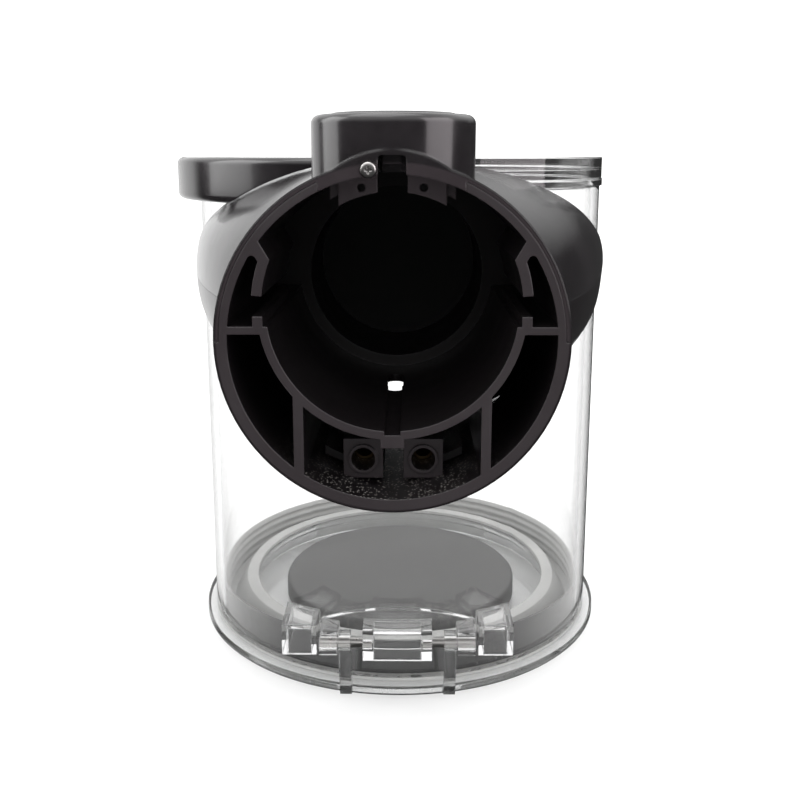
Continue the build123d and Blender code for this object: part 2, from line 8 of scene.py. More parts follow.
import bpy
from bpy.props import FloatProperty, FloatVectorProperty, IntProperty, PointerProperty
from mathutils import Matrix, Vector


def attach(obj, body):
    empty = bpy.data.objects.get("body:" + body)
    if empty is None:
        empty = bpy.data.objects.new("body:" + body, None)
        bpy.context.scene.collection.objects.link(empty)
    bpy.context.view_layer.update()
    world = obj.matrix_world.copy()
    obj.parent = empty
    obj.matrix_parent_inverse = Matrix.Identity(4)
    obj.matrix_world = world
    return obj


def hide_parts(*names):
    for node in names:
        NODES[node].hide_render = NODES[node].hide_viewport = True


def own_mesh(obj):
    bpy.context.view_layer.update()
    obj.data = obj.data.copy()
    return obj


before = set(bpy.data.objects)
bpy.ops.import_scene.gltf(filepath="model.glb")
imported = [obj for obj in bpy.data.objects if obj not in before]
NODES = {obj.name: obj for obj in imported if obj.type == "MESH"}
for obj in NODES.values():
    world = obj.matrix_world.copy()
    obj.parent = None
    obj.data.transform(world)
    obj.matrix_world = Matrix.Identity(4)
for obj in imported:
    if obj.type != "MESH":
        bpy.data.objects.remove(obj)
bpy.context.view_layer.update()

bl_info = {
    "name": "Cyclone dust bin looks",
    "version": (1, 0, 0),
    "blender": (4, 5, 0),
    "location": "View3D > Sidebar > Dust Bin",
    "description": "Dresses the packed dust bin in clear plastic, black plastic, rubber and metal",
    "category": "Object",
}

MM = 0.001
SOCKET_RADIUS = 26.05 * MM
SOCKET_HEIGHT = min(corner[2] for corner in NODES["nose_frame"].bound_box) + SOCKET_RADIUS

WALL_NODES = ("bin_shell",)
LID_NODES = ("bottom_lid",)
GLOSS_NODES = ("nose_cover", "button_bezel", "release_button", "side_collar")
SATIN_NODES = ("nose_frame", "contact_block_left", "contact_block_right")
SEAL_NODES = ("lid_seal_ring",)
BAND_NODES = ("foot_seal_band",)
PAD_NODES = ("centre_seal_pad",)
BLACK_RUBBER_NODES = ("inlet_gasket", "inlet_flap")
STEEL_NODES = ("lid_hinge_pin", "flap_pin", "button_spring", "tower_screw", "cover_screws")
BRASS_NODES = ("contact_socket_left", "contact_socket_right")

# Where each mask begins and where it is full
MARKS_RAMP = (0.42, 0.72)  # cloud value that shows as handling marks
SPECK_RAMP = (0.42, 0.25)  # distance from the middle of a dust speck
LEVEL_RAMP = (0.15, 0.75)  # upward part of the normal on which dust lies
SQUARE_RAMP = (-0.6, -0.95)  # forward part of the normal on which the painted light at the mouth lies
EDGE_RAMP = (0.68, 0.96)  # slant at which clear plastic darkens with painted shade
OUTSIDE_RAMP = (0.98 * SOCKET_RADIUS, 0.995 * SOCKET_RADIUS)  # radius about the socket's axis
BAND_RAMP = (-42 * MM, -12 * MM)  # place from front to back over which the foot band's painted shade fades to pale
CEILING_RAMP = (0.1, 0.55)  # upward part of the gaze at which the room's ceiling begins
BACKDROP_RAMP = (0.85, 0.91)  # closeness of the gaze to the middle of the backdrop

# Roughness from clean to marked
CLEAR_ROUGHNESS = (0.0, 0.05)
GLOSS_ROUGHNESS = (0.16, 0.26)
SATIN_ROUGHNESS = (0.30, 0.42)
OUTSIDE_ROUGHNESS = 0.18
RUBBER_SPREAD = 0.12
METAL_SPREAD = 0.2

# How much lighter or darker the marks are than the clean surface
GLOSS_MARKS = 2.2
RUBBER_MARKS = 1.25
METAL_MARKS = 0.6

LEAST_MOUTH_LIGHT = 0.75  # strength of the painted light at the mouth where there are no marks
CLEAR_IOR = 1.49
GLOSS_COAT = 0.25
GLOSS_COAT_ROUGHNESS = 0.08

# Meshing of the new pieces
RING_SIDES = 180
SCREW_SIDES = 64
WIRE_SIDES = 16
COIL_STEPS = 48  # along one turn
CORNER_SEGMENTS = 3
HEAD_SEGMENTS = 5
SHARP_EDGE = radians(30)
SMOOTH_EDGE = radians(35)
MERGE_DISTANCE = 0.001 * MM
TOP_DEPTH = 0.01 * MM  # how close to the button's height a face of its top lies
FLAT_END = 0.9  # part of the normal along Z on a flat end of a screw or slot
FLAT_TOP = 0.99  # the same on the button's top

# Shares of a piece's own sizes
BAND_GROOVE = 0.35  # of the band's wall
PAD_SHOULDER = 0.3  # of the pad's rounding
PAD_RINGS = (0.5, 0.001)  # of the pad's radius
HEAD_ROUND = 0.45  # of the head's height
SLOT_LENGTH = 1.15  # of the head's radius
SLOT_WIDTH = 0.3  # of the head's radius
SLOT_HEIGHT = 1.1  # of the head's height, half of it in the head
SLOT_FOOT = 0.55  # of the slot's mouth

# Light panels: place, what they face, width and height
LEFT_PANEL = ((-0.66, -0.02, 0.36), (0, -0.03, 0.10), 0.42, 0.6)
RIGHT_PANEL = ((0.64, -0.34, 0.36), (0, -0.03, 0.10), 0.6, 0.6)
TOP_PANEL = ((-0.1, -0.1, 0.75), (0, 0, 0.06), 0.6, 0.6)
BACKDROP_WAY = (-0.5, 0.866, 0.0)
WHITE = (1, 1, 1)
SENSOR_WIDTH = 36.0
NEAREST_SEEN = 0.01


def colour(name, description, rgb):
    return FloatVectorProperty(name=name, description=description, default=rgb, subtype="COLOR",
                               min=0, max=1)


def number(name, description, default, **kind):
    return FloatProperty(name=name, description=description, default=default, **kind)


def size(name, description, millimetres):
    return number(name, description, millimetres * MM, min=0.0, unit="LENGTH")


def count(name, description, default, least):
    return IntProperty(name=name, description=description, default=default, min=least)


class DustBinFinish(bpy.types.PropertyGroup):
    """Colours and density of the bin's materials, with the painted light at the socket's mouth and
    the painted shade on the foot band and the clear edges.
    """
    clear_tint: colour("Clear plastic", "Tint of light that crosses the clear wall and lid",
                       (0.56, 0.57, 0.565))
    # Painted shade: the clear plastic's colour darkens where it is seen edge-on, standing in for
    # the dark room seen in its edges.
    clear_edge_shade: colour("Clear edge", "Tint of the clear wall and lid where they are seen edge-on",
                       (0.08, 0.08, 0.08))
    clear_density: number("Clear density", "How much the clear wall dims light inside it",
                          22.0, min=0.0)
    lid_density: number("Lid density", "How much the clear lid dims light inside it",
                        90.0, min=0.0)
    gloss_black: colour("Gloss black", "Colour of the cover, tower and collar",
                        (0.010, 0.0085, 0.0095))
    socket_black: colour("Socket black", "Colour of the socket moulding",
                         (0.0075, 0.0058, 0.0066))
    # Painted light: a paler black on the forward faces at the socket's mouth, against the darker
    # inside.
    painted_lit_black: colour("Painted lit black", "Colour of the rubbed faces at the mouth",
                         (0.032, 0.0255, 0.0282))
    seal_grey: colour("Seal grey", "Colour of the lid's rubber seal", (0.36, 0.36, 0.353))
    # Painted shade: the foot band's dark colour at the front by the hinge, which fades to the seal
    # grey round the back.
    band_shade_grey: colour("Foot band grey", "Colour of the rubber band inside the foot",
                      (0.030, 0.030, 0.030))
    pad_grey: colour("Pad grey", "Colour of the lid's centre pad", (0.068, 0.068, 0.067))
    rubber_black: colour("Flap black", "Colour of the inlet's rubber", (0.008, 0.008, 0.008))
    steel: colour("Steel", "Colour of the pins, screws and spring", (0.46, 0.45, 0.44))
    brass: colour("Brass", "Colour of the contact sockets", (0.10, 0.07, 0.035))
    dust: colour("Dust", "Colour of the dust left in the socket", (0.50, 0.47, 0.44))


class DustBinStudio(bpy.types.PropertyGroup):
    """Camera, floor and lights."""
    lens: number("Lens", "Focal length of the camera", 42.4, unit="CAMERA")
    camera_distance: number("Camera distance", "From the bin's axis to the camera",
                            0.2426, unit="LENGTH")
    camera_height: number("Camera height", "Camera above the floor", 0.1185, unit="LENGTH")
    camera_pitch: number("Camera pitch", "How far the camera looks down",
                         radians(11.31), subtype="ANGLE")
    camera_orbit: number("Camera orbit", "How far the camera stands right of the nose",
                         radians(0.6), subtype="ANGLE")
    camera_shift: number("Camera shift", "Vertical lens shift", -0.0707)
    floor_size: number("Floor size", "Width of the pale floor", 6.0, unit="LENGTH")
    floor_tint: colour("Floor", "Colour of the pale floor", (0.96, 0.96, 0.96))
    room_light: number("Room light", "Strength of the even white light", 1.55)
    room_wall: number("Wall in gloss", "Brightness of the room's walls in glossy parts", 0.04)
    room_backdrop: number("Backdrop in gloss", "Brightness of the backdrop in glossy parts", 1.1)
    room_ceiling: number("Ceiling in gloss", "Brightness of the ceiling in glossy parts", 1.5)
    right_tint: colour("Right panel tint", "Colour of the light panel on the right",
                       (1.0, 0.93, 0.96))
    left_panel: number("Left panel", "Power of the light panel on the left", 2.6, unit="POWER")
    right_panel: number("Right panel", "Power of the light panel on the right", 3.6, unit="POWER")
    top_panel: number("Top panel", "Power of the light panel overhead", 2.5, unit="POWER")


class DustBinRubber(bpy.types.PropertyGroup):
    """Sections of the rubber pieces."""
    band_wall: size("Band wall", "Thickness of the foot band", 1.0)
    band_rib: size("Band rib", "Width of a rib on the foot band", 0.5)
    band_ribs: count("Band ribs", "Number of ribs on the foot band", 3, least=1)
    pad_skin: size("Pad skin", "Thickness of the centre pad", 2.0)
    pad_round: size("Pad rounding", "Rounding of the centre pad's upper edge", 1.2)
    soft_edge: size("Soft edge", "Rounding of the rubber's other edges", 0.25)


class DustBinScrews(bpy.types.PropertyGroup):
    """Heads and shanks of the screws."""
    tower_head: size("Tower head", "Height of the tower screw's head", 0.8)
    cover_head: size("Cover head", "Height of the cover screws' heads", 1.2)
    cover_shank: size("Cover shank", "Radius of the cover screws' shanks", 1.25)


class DustBinButton(bpy.types.PropertyGroup):
    """Finger dish, spring and travel of the release button."""
    dish_rim: size("Dish rim", "Flat rim round the dish", 1.6)
    dish_depth: size("Dish depth", "Depth of the dish", 0.7)
    dish_steps: count("Dish steps", "Number of rings in the dish", 12, least=2)
    spring_wire: size("Spring wire", "Radius of the spring's wire", 0.35)
    spring_turns: number("Spring turns", "Number of turns of the spring", 2.5)
    travel: size("Travel", "How far the button goes down", 2.4)


def set_inputs(tree, node, **inputs):
    """Sets plain values on a node's named inputs, and links those that are sockets."""
    for name, value in inputs.items():
        set_input(tree, node.inputs[name.replace("_", " ")], value)


def set_input(tree, socket, value):
    """Links an input to a socket, or sets a plain value or an opaque colour on it."""
    if isinstance(value, bpy.types.NodeSocket):
        tree.links.new(value, socket)
    elif socket.type == "RGBA":
        socket.default_value = (value[0], value[1], value[2], 1.0)
    else:
        socket.default_value = value


def add_node(tree, kind, **inputs):
    node = tree.nodes.new(kind)
    set_inputs(tree, node, **inputs)
    return node


def add_group(tree, group, **inputs):
    node = tree.nodes.new("ShaderNodeGroup")
    node.node_tree = bpy.data.node_groups[group]
    set_inputs(tree, node, **inputs)
    return node


def object_place(tree):
    return tree.nodes.new("ShaderNodeTexCoord").outputs["Object"]


def surface_normal(tree):
    return tree.nodes.new("ShaderNodeNewGeometry").outputs["Normal"]


def part_along(tree, vector, axis):
    """One coordinate of a vector."""
    return add_node(tree, "ShaderNodeSeparateXYZ", Vector=vector).outputs[axis]


def maths(tree, operation, *values, kind="ShaderNodeMath"):
    """The number that a maths node makes of plain values and sockets."""
    node = tree.nodes.new(kind)
    node.operation = operation
    for socket, value in zip(node.inputs, values):
        set_input(tree, socket, value)
    return node.outputs["Value"]


def product(tree, mask, *factors):
    for factor in factors:
        mask = maths(tree, "MULTIPLY", mask, factor)
    return mask


def ramp(tree, value, start, end, low=0.0, high=1.0):
    """A value that goes from low to high while the given one goes from start to end."""
    node = add_node(tree, "ShaderNodeMapRange", Value=value, From_Min=start, From_Max=end,
                    To_Min=low, To_Max=high)
    return node.outputs["Result"]


def span(tree, mask, low, high):
    """A 0 to 1 mask stretched between two values."""
    return ramp(tree, mask, 0.0, 1.0, low, high)


def blend(tree, mask, first, second):
    """A colour that goes from the first to the second with a mask."""
    node = tree.nodes.new("ShaderNodeMix")
    node.data_type = "RGBA"
    set_inputs(tree, node, Factor=mask, A=first, B=second)
    return node.outputs["Result"]


def scaled(tint, factor):
    return [min(1.0, factor * value) for value in tint]


def mix_shaders(tree, mask, first, second):
    node = add_node(tree, "ShaderNodeMixShader", Fac=mask)
    tree.links.new(first, node.inputs[1])
    tree.links.new(second, node.inputs[2])
    return node.outputs["Shader"]


def node_group(name, inputs, outputs):
    """An empty shader node group with named sockets, its inputs and its output node."""
    tree = bpy.data.node_groups.new(name, "ShaderNodeTree")
    for socket, value in inputs.items():
        tree.interface.new_socket(socket, in_out="INPUT",
                                  socket_type="NodeSocketFloat").default_value = value
    for socket, kind in outputs.items():
        tree.interface.new_socket(socket, in_out="OUTPUT", socket_type=kind)
    return tree, tree.nodes.new("NodeGroupInput").outputs, tree.nodes.new("NodeGroupOutput")


def wear_group():
    """Moulding grain as a normal on softened edges, and a cloudy mask of handling marks."""
    tree, given, out = node_group(
        "moulding_wear", {"Edge radius": 0.3 * MM, "Grain scale": 900.0, "Grain depth": 0.05},
        {"Normal": "NodeSocketVector", "Marks": "NodeSocketFloat"})
    place = object_place(tree)
    edges = add_node(tree, "ShaderNodeBevel", Radius=given["Edge radius"])
    grain = add_node(tree, "ShaderNodeTexNoise", Vector=place, Scale=given["Grain scale"],
                     Detail=2.0)
    bump = add_node(tree, "ShaderNodeBump", Distance=0.1 * MM, Strength=given["Grain depth"],
                    Height=grain.outputs["Fac"], Normal=edges.outputs["Normal"])
    clouds = add_node(tree, "ShaderNodeTexNoise", Vector=place, Scale=45.0, Detail=5.0,
                      Roughness=0.65)
    set_inputs(tree, out, Normal=bump.outputs["Normal"],
               Marks=ramp(tree, clouds.outputs["Fac"], *MARKS_RAMP))


def dust_group():
    """Mask of dust specks that lie on surfaces facing up, below a height."""
    tree, given, out = node_group(
        "settled_dust", {"Amount": 0.5, "Top height": 80 * MM, "Fade": 10 * MM},
        {"Mask": "NodeSocketFloat"})
    place = object_place(tree)
    specks = add_node(tree, "ShaderNodeTexVoronoi", Vector=place, Scale=2300.0)
    patches = add_node(tree, "ShaderNodeTexNoise", Vector=place, Scale=300.0, Detail=3.0)
    near = ramp(tree, specks.outputs["Distance"], *SPECK_RAMP)
    chosen = maths(tree, "LESS_THAN", specks.outputs["Color"], patches.outputs["Fac"])
    depth = maths(tree, "SUBTRACT", given["Top height"], part_along(tree, place, "Z"))
    low = ramp(tree, depth, 0.0, given["Fade"])
    level = ramp(tree, part_along(tree, surface_normal(tree), "Z"), *LEVEL_RAMP)
    set_inputs(tree, out, Mask=product(tree, near, chosen, low, level, given["Amount"]))


def mouth_light_group():
    """Mask of the painted light on the forward faces at the mouth of the socket, broken up by the
    handling marks.
    """
    tree, given, out = node_group(
        "painted_mouth_light", {"Depth": -98 * MM, "Marks": 0.0}, {"Mask": "NodeSocketFloat"})
    ahead = maths(tree, "LESS_THAN", part_along(tree, object_place(tree), "Y"), given["Depth"])
    square = ramp(tree, part_along(tree, surface_normal(tree), "Y"), *SQUARE_RAMP)
    mark_breakup = span(tree, given["Marks"], LEAST_MOUTH_LIGHT, 1.0)
    set_inputs(tree, out, Mask=product(tree, square, ahead, mark_breakup))


def outside_mask(tree):
    """Mask of the surface round the outside of the socket."""
    around = add_node(tree, "ShaderNodeMapping", Vector=object_place(tree),
                      Location=(0, 0, -SOCKET_HEIGHT), Scale=(1, 0, 1))
    radius = maths(tree, "LENGTH", around.outputs["Vector"], kind="ShaderNodeVectorMath")
    return ramp(tree, radius, *OUTSIDE_RAMP)


def painted_lit(tree, marks, outside, base, finish):
    """A colour that turns paler on the forward faces at the mouth of the socket, as painted light.
    """
    mouth_light = add_group(tree, "painted_mouth_light", Marks=marks)
    within = span(tree, outside, 1.0, 0.0)
    return blend(tree, product(tree, mouth_light.outputs["Mask"], within), base, finish.painted_lit_black)


def new_material(name):
    """A new material with its node tree and Principled shader."""
    material = bpy.data.materials.new(name)
    material.use_nodes = True
    return material, material.node_tree, material.node_tree.nodes["Principled BSDF"]


def worn_material(name, **wear):
    """A new material with moulding wear in its normal, and the mask of its handling marks."""
    material, tree, shader = new_material(name)
    group = add_group(tree, "moulding_wear", **wear)
    set_inputs(tree, shader, Normal=group.outputs["Normal"])
    return material, tree, shader, group.outputs["Marks"]


def clear_plastic(name, finish, density):
    """Clear moulded plastic that lets light through to what is behind it, with painted shade where
    it is seen edge-on.
    """
    material, tree, shader, marks = worn_material(
        name, Edge_radius=0.4 * MM, Grain_scale=60.0, Grain_depth=0.004)
    # Painted shade: the base colour turns to the edge shade where the plastic is seen edge-on.
    edge = add_node(tree, "ShaderNodeLayerWeight", Blend=0.5)
    rim = ramp(tree, edge.outputs["Facing"], *EDGE_RAMP)
    set_inputs(tree, shader, Base_Color=blend(tree, rim, WHITE, finish.clear_edge_shade), IOR=CLEAR_IOR,
               Transmission_Weight=1.0, Roughness=span(tree, marks, *CLEAR_ROUGHNESS))
    path = tree.nodes.new("ShaderNodeLightPath").outputs
    either = maths(tree, "MAXIMUM", path["Is Shadow Ray"], path["Is Diffuse Ray"])
    through = tree.nodes.new("ShaderNodeBsdfTransparent")
    inside = add_node(tree, "ShaderNodeVolumeAbsorption", Color=finish.clear_tint, Density=density)
    surface = mix_shaders(tree, either, shader.outputs["BSDF"], through.outputs["BSDF"])
    set_inputs(tree, tree.nodes["Material Output"], Surface=surface,
               Volume=inside.outputs["Volume"])
    return material


def gloss_black_plastic(finish):
    material, tree, shader, marks = worn_material(
        "gloss_black_plastic", Edge_radius=0.5 * MM, Grain_scale=700.0, Grain_depth=0.02)
    tint = blend(tree, marks, finish.gloss_black, scaled(finish.gloss_black, GLOSS_MARKS))
    set_inputs(tree, shader, Base_Color=painted_lit(tree, marks, outside_mask(tree), tint, finish),
               Roughness=span(tree, marks, *GLOSS_ROUGHNESS), Coat_Weight=GLOSS_COAT,
               Coat_Roughness=GLOSS_COAT_ROUGHNESS)
    return material


def satin_black_plastic(finish):
    """Satin inside the socket, with dust in its bottom, and glossier round its outside."""
    material, tree, shader, marks = worn_material(
        "satin_black_plastic", Edge_radius=0.3 * MM, Grain_scale=1100.0, Grain_depth=0.10)
    dust = add_group(tree, "settled_dust", Amount=0.6, Top_height=76.5 * MM, Fade=8 * MM)
    tint = blend(tree, dust.outputs["Mask"], finish.socket_black, finish.dust)
    outside = outside_mask(tree)
    satin = span(tree, marks, *SATIN_ROUGHNESS)
    set_inputs(tree, shader, Base_Color=painted_lit(tree, marks, outside, tint, finish),
               Roughness=span(tree, outside, satin, OUTSIDE_ROUGHNESS))
    return material


def uncoloured_rubber(name, roughness):
    """A rubber material that still needs its colour, and the mask of its handling marks."""
    material, tree, shader, marks = worn_material(
        name, Edge_radius=0.4 * MM, Grain_scale=1500.0, Grain_depth=0.15)
    set_inputs(tree, shader, Roughness=span(tree, marks, roughness, roughness + RUBBER_SPREAD))
    return material, tree, shader, marks


def soft_rubber(name, tint, roughness):
    material, tree, shader, marks = uncoloured_rubber(name, roughness)
    set_inputs(tree, shader, Base_Color=blend(tree, marks, tint, scaled(tint, RUBBER_MARKS)))
    return material


def band_rubber(finish):
    """Rubber of the foot band, with painted shade: dark in front by the hinge and paler round the
    back.
    """
    material, tree, shader, _ = uncoloured_rubber("grey_band_rubber", roughness=0.55)
    back = ramp(tree, part_along(tree, object_place(tree), "Y"), *BAND_RAMP)
    set_inputs(tree, shader, Base_Color=blend(tree, back, finish.band_shade_grey, finish.seal_grey))
    return material


def bare_metal(name, tint, roughness):
    material, tree, shader, marks = worn_material(
        name, Edge_radius=0.2 * MM, Grain_scale=2500.0, Grain_depth=0.10)
    set_inputs(tree, shader, Base_Color=blend(tree, marks, tint, scaled(tint, METAL_MARKS)),
               Roughness=span(tree, marks, roughness, roughness + METAL_SPREAD), Metallic=1.0)
    return material


def dress(names, material):
    """Puts a material on every slot of these CAD nodes."""
    for name in names:
        for slot in NODES[name].material_slots:
            slot.material = material


class DUSTBIN_OT_finish_nodes(bpy.types.Operator):
    """Put a finish on every CAD node"""
    bl_idname = "dustbin.finish_nodes"
    bl_label = "Finish the nodes"

    def execute(self, context):
        finish = context.scene.dust_bin_finish
        wear_group()
        dust_group()
        mouth_light_group()
        dress(WALL_NODES, clear_plastic("clear_wall_plastic", finish, finish.clear_density))
        dress(LID_NODES, clear_plastic("clear_lid_plastic", finish, finish.lid_density))
        dress(GLOSS_NODES, gloss_black_plastic(finish))
        dress(SATIN_NODES, satin_black_plastic(finish))
        dress(SEAL_NODES, soft_rubber("grey_seal_rubber", finish.seal_grey, roughness=0.6))
        dress(BAND_NODES, band_rubber(finish))
        dress(PAD_NODES, soft_rubber("grey_pad_rubber", finish.pad_grey, roughness=0.6))
        dress(BLACK_RUBBER_NODES,
              soft_rubber("black_flap_rubber", finish.rubber_black, roughness=0.7))
        dress(STEEL_NODES, bare_metal("bright_steel", finish.steel, roughness=0.25))
        dress(BRASS_NODES, bare_metal("dull_brass", finish.brass, roughness=0.35))
        return {"FINISHED"}


def deselect_all():
    if bpy.context.object and bpy.context.object.mode != "OBJECT":
        bpy.ops.object.mode_set(mode="OBJECT")
    bpy.ops.object.select_all(action="DESELECT")


def edit_all(piece):
    """Goes into edit mode on one piece, with all of it selected."""
    deselect_all()
    bpy.context.view_layer.objects.active = piece
    piece.select_set(True)
    bpy.ops.object.mode_set(mode="EDIT")
    bpy.ops.mesh.select_all(action="SELECT")


def node_box(name):
    """Lowest and highest corner of a CAD node."""
    corners = NODES[name].bound_box
    low = Vector([min(corner[axis] for corner in corners) for axis in range(3)])
    high = Vector([max(corner[axis] for corner in corners) for axis in range(3)])
    return low, high


def select_faces(piece, wanted):
    """Selects the faces whose middle and normal pass a test, and stays in edit mode."""
    bpy.ops.mesh.select_mode(type="FACE")
    bpy.ops.mesh.select_all(action="DESELECT")
    bpy.ops.object.mode_set(mode="OBJECT")
    for face in piece.data.polygons:
        face.select = wanted(face.center, face.normal)
    bpy.ops.object.mode_set(mode="EDIT")


def round_corners(width):
    """Bevels every sharp edge of the piece in edit mode."""
    bpy.ops.mesh.select_mode(type="EDGE")
    bpy.ops.mesh.select_all(action="DESELECT")
    bpy.ops.mesh.edges_select_sharp(sharpness=SHARP_EDGE)
    bpy.ops.mesh.bevel(offset=width, segments=CORNER_SEGMENTS, affect="EDGES")


def close_piece():
    """Merges doubles, turns the faces outwards, smooths them and puts the place into the mesh."""
    bpy.ops.mesh.select_all(action="SELECT")
    bpy.ops.mesh.remove_doubles(threshold=MERGE_DISTANCE)
    bpy.ops.mesh.normals_make_consistent(inside=False)
    bpy.ops.object.mode_set(mode="OBJECT")
    bpy.ops.object.shade_smooth_by_angle(angle=SMOOTH_EDGE)
    bpy.ops.object.transform_apply(location=True, rotation=True, scale=True)


def place_piece(piece, location, turn):
    """Turns a piece about X, moves it and puts both into its mesh."""
    piece.location = location
    piece.rotation_euler = (turn, 0, 0)
    edit_all(piece)
    close_piece()


def finish_piece(piece, body, slot, material, *replaced):
    """Gives a new piece its finish, the body that it rides on and the nodes that it stands for."""
    piece.data.name = piece.name
    piece.data.materials.clear()
    piece.data.materials.append(bpy.data.materials[material])
    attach(piece, body)
    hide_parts(*replaced)


def turned_piece(name, section, corner):
    """A ring extruded loop by loop from a circle along a section of radius and height pairs."""
    deselect_all()
    radius, height = section[0]
    bpy.ops.mesh.primitive_circle_add(vertices=RING_SIDES, radius=radius, location=(0, 0, height))
    piece = bpy.context.object
    piece.name = name
    bpy.ops.object.transform_apply(location=True)
    bpy.ops.object.mode_set(mode="EDIT")
    bpy.ops.mesh.select_mode(type="EDGE")
    bpy.ops.mesh.select_all(action="SELECT")
    for (here, level), (there, next_level) in zip(section, section[1:]):
        bpy.ops.mesh.extrude_edges_move(
            TRANSFORM_OT_translate={"value": (0, 0, next_level - level)})
        bpy.ops.transform.resize(value=(there / here, there / here, 1), center_override=(0, 0, 0))
    bpy.ops.mesh.select_all(action="SELECT")
    bpy.ops.mesh.remove_doubles(threshold=MERGE_DISTANCE)
    bpy.ops.mesh.fill_holes(sides=0)
    bpy.ops.mesh.normals_make_consistent(inside=False)
    round_corners(corner)
    close_piece()
    return piece


class DUSTBIN_OT_rubber_rings(bpy.types.Operator):
    """Turn the ribbed foot band and the rounded centre pad"""
    bl_idname = "dustbin.rubber_rings"
    bl_label = "Turn the rubber rings"

    def execute(self, context):
        sizes = context.scene.dust_bin_rubber
        low, high = node_box("foot_seal_band")
        wall, rib = sizes.band_wall, sizes.band_rib
        outer, inner = high.x, high.x - wall
        valley = inner + BAND_GROOVE * wall
        section = [(outer, low.z), (outer - wall / 2, low.z), (inner, low.z + wall)]
        pitch = (high.z - low.z - 2 * wall) / sizes.band_ribs
        for step in range(sizes.band_ribs):
            foot = low.z + wall + step * pitch
            section += [(inner, foot + rib), (valley, foot + 2 * rib),
                        (valley, foot + pitch - rib), (inner, foot + pitch)]
        section += [(outer - wall / 2, high.z), (outer, high.z), section[0]]
        band = turned_piece("ribbed_foot_band", section, sizes.soft_edge / 2)
        finish_piece(band, "housing", "seal_grey", "grey_band_rubber", "foot_seal_band")

        low, high = node_box("centre_seal_pad")
        edge, top = high.x, high.z
        hollow = edge - sizes.pad_skin
        shoulder = PAD_SHOULDER * sizes.pad_round
        section = [(hollow, top - sizes.pad_skin), (hollow, low.z), (edge, low.z),
                   (edge, top - sizes.pad_round), (edge - shoulder, top - shoulder),
                   (edge - sizes.pad_round, top)]
        section += [(share * edge, top) for share in PAD_RINGS]
        pad = turned_piece("rounded_centre_pad", section, sizes.soft_edge)
        finish_piece(pad, "lid", "seal_grey", "grey_pad_rubber", "centre_seal_pad")
        return {"FINISHED"}


def cross_screw(name, head_radius, head_height, shank_radius, length):
    """A pan-head screw with a cross recess, its head up and its shank down from the origin."""
    deselect_all()
    bpy.ops.mesh.primitive_cylinder_add(vertices=SCREW_SIDES, radius=head_radius,
                                        depth=head_height, location=(0, 0, head_height / 2))
    screw = bpy.context.object
    screw.name = name
    bpy.ops.object.transform_apply(location=True)
    bpy.ops.object.mode_set(mode="EDIT")
    select_faces(screw, lambda middle, normal: normal.z < -FLAT_END)
    if head_radius > shank_radius:
        bpy.ops.mesh.inset(thickness=head_radius - shank_radius)
    bpy.ops.mesh.extrude_region_move(TRANSFORM_OT_translate={"value": (0, 0, -length)})
    select_faces(screw, lambda middle, normal: normal.z > FLAT_END and middle.z > 0)
    bpy.ops.mesh.bevel(offset=HEAD_ROUND * head_height, segments=HEAD_SEGMENTS, affect="EDGES")
    for turn in (0, pi / 2):
        cut_slot(screw, head_radius, head_height, turn)
    return screw


def cut_slot(screw, head_radius, head_height, turn):
    """Cuts one tapered slot of a cross recess into a screw's head."""
    deselect_all()
    middle = (0, 0, head_height)
    bpy.ops.mesh.primitive_cube_add(size=head_radius, location=middle)
    cutter = bpy.context.object
    bpy.ops.object.mode_set(mode="EDIT")
    bpy.ops.mesh.select_all(action="SELECT")
    bpy.ops.transform.resize(
        value=(SLOT_LENGTH, SLOT_WIDTH, SLOT_HEIGHT * head_height / head_radius),
        center_override=middle)
    bpy.ops.transform.rotate(value=turn, orient_axis="Z", center_override=middle)
    select_faces(cutter, lambda place, normal: normal.z < -FLAT_END)
    bpy.ops.transform.resize(value=(SLOT_FOOT, SLOT_FOOT, 1), center_override=middle)
    deselect_all()
    bpy.context.view_layer.objects.active = screw
    cut = screw.modifiers.new("slot", "BOOLEAN")
    cut.operation = "DIFFERENCE"
    cut.object = cutter
    bpy.ops.object.modifier_apply(modifier=cut.name)
    if not screw.data.polygons:
        raise RuntimeError("the slot left nothing of " + screw.name)
    bpy.data.objects.remove(cutter)


class DUSTBIN_OT_screws(bpy.types.Operator):
    """Cut the cross-head screws of the tower and the cover"""
    bl_idname = "dustbin.screws"
    bl_label = "Cut the screws"

    def execute(self, context):
        sizes = context.scene.dust_bin_screws
        low, high = node_box("tower_screw")
        middle = (low + high) / 2
        radius = (high.x - low.x) / 2
        tower = cross_screw("tower_cross_screw", radius, sizes.tower_head, radius,
                            high.y - low.y - sizes.tower_head)
        place_piece(tower, (middle.x, low.y + sizes.tower_head, middle.z), pi / 2)
        finish_piece(tower, "housing", "steel", "bright_steel", "tower_screw")

        low, high = node_box("cover_screws")
        radius = (high.y - low.y) / 2
        left = cross_screw("cover_cross_screw_left", radius, sizes.cover_head, sizes.cover_shank,
                           high.z - low.z - sizes.cover_head)
        right = left.copy()
        right.data = left.data.copy()
        right.name = "cover_cross_screw_right"
        context.scene.collection.objects.link(right)
        for screw, x in ((left, low.x + radius), (right, high.x - radius)):
            place_piece(screw, (x, (low.y + high.y) / 2, low.z + sizes.cover_head), pi)
            finish_piece(screw, "housing", "steel", "bright_steel", "cover_screws")
        return {"FINISHED"}


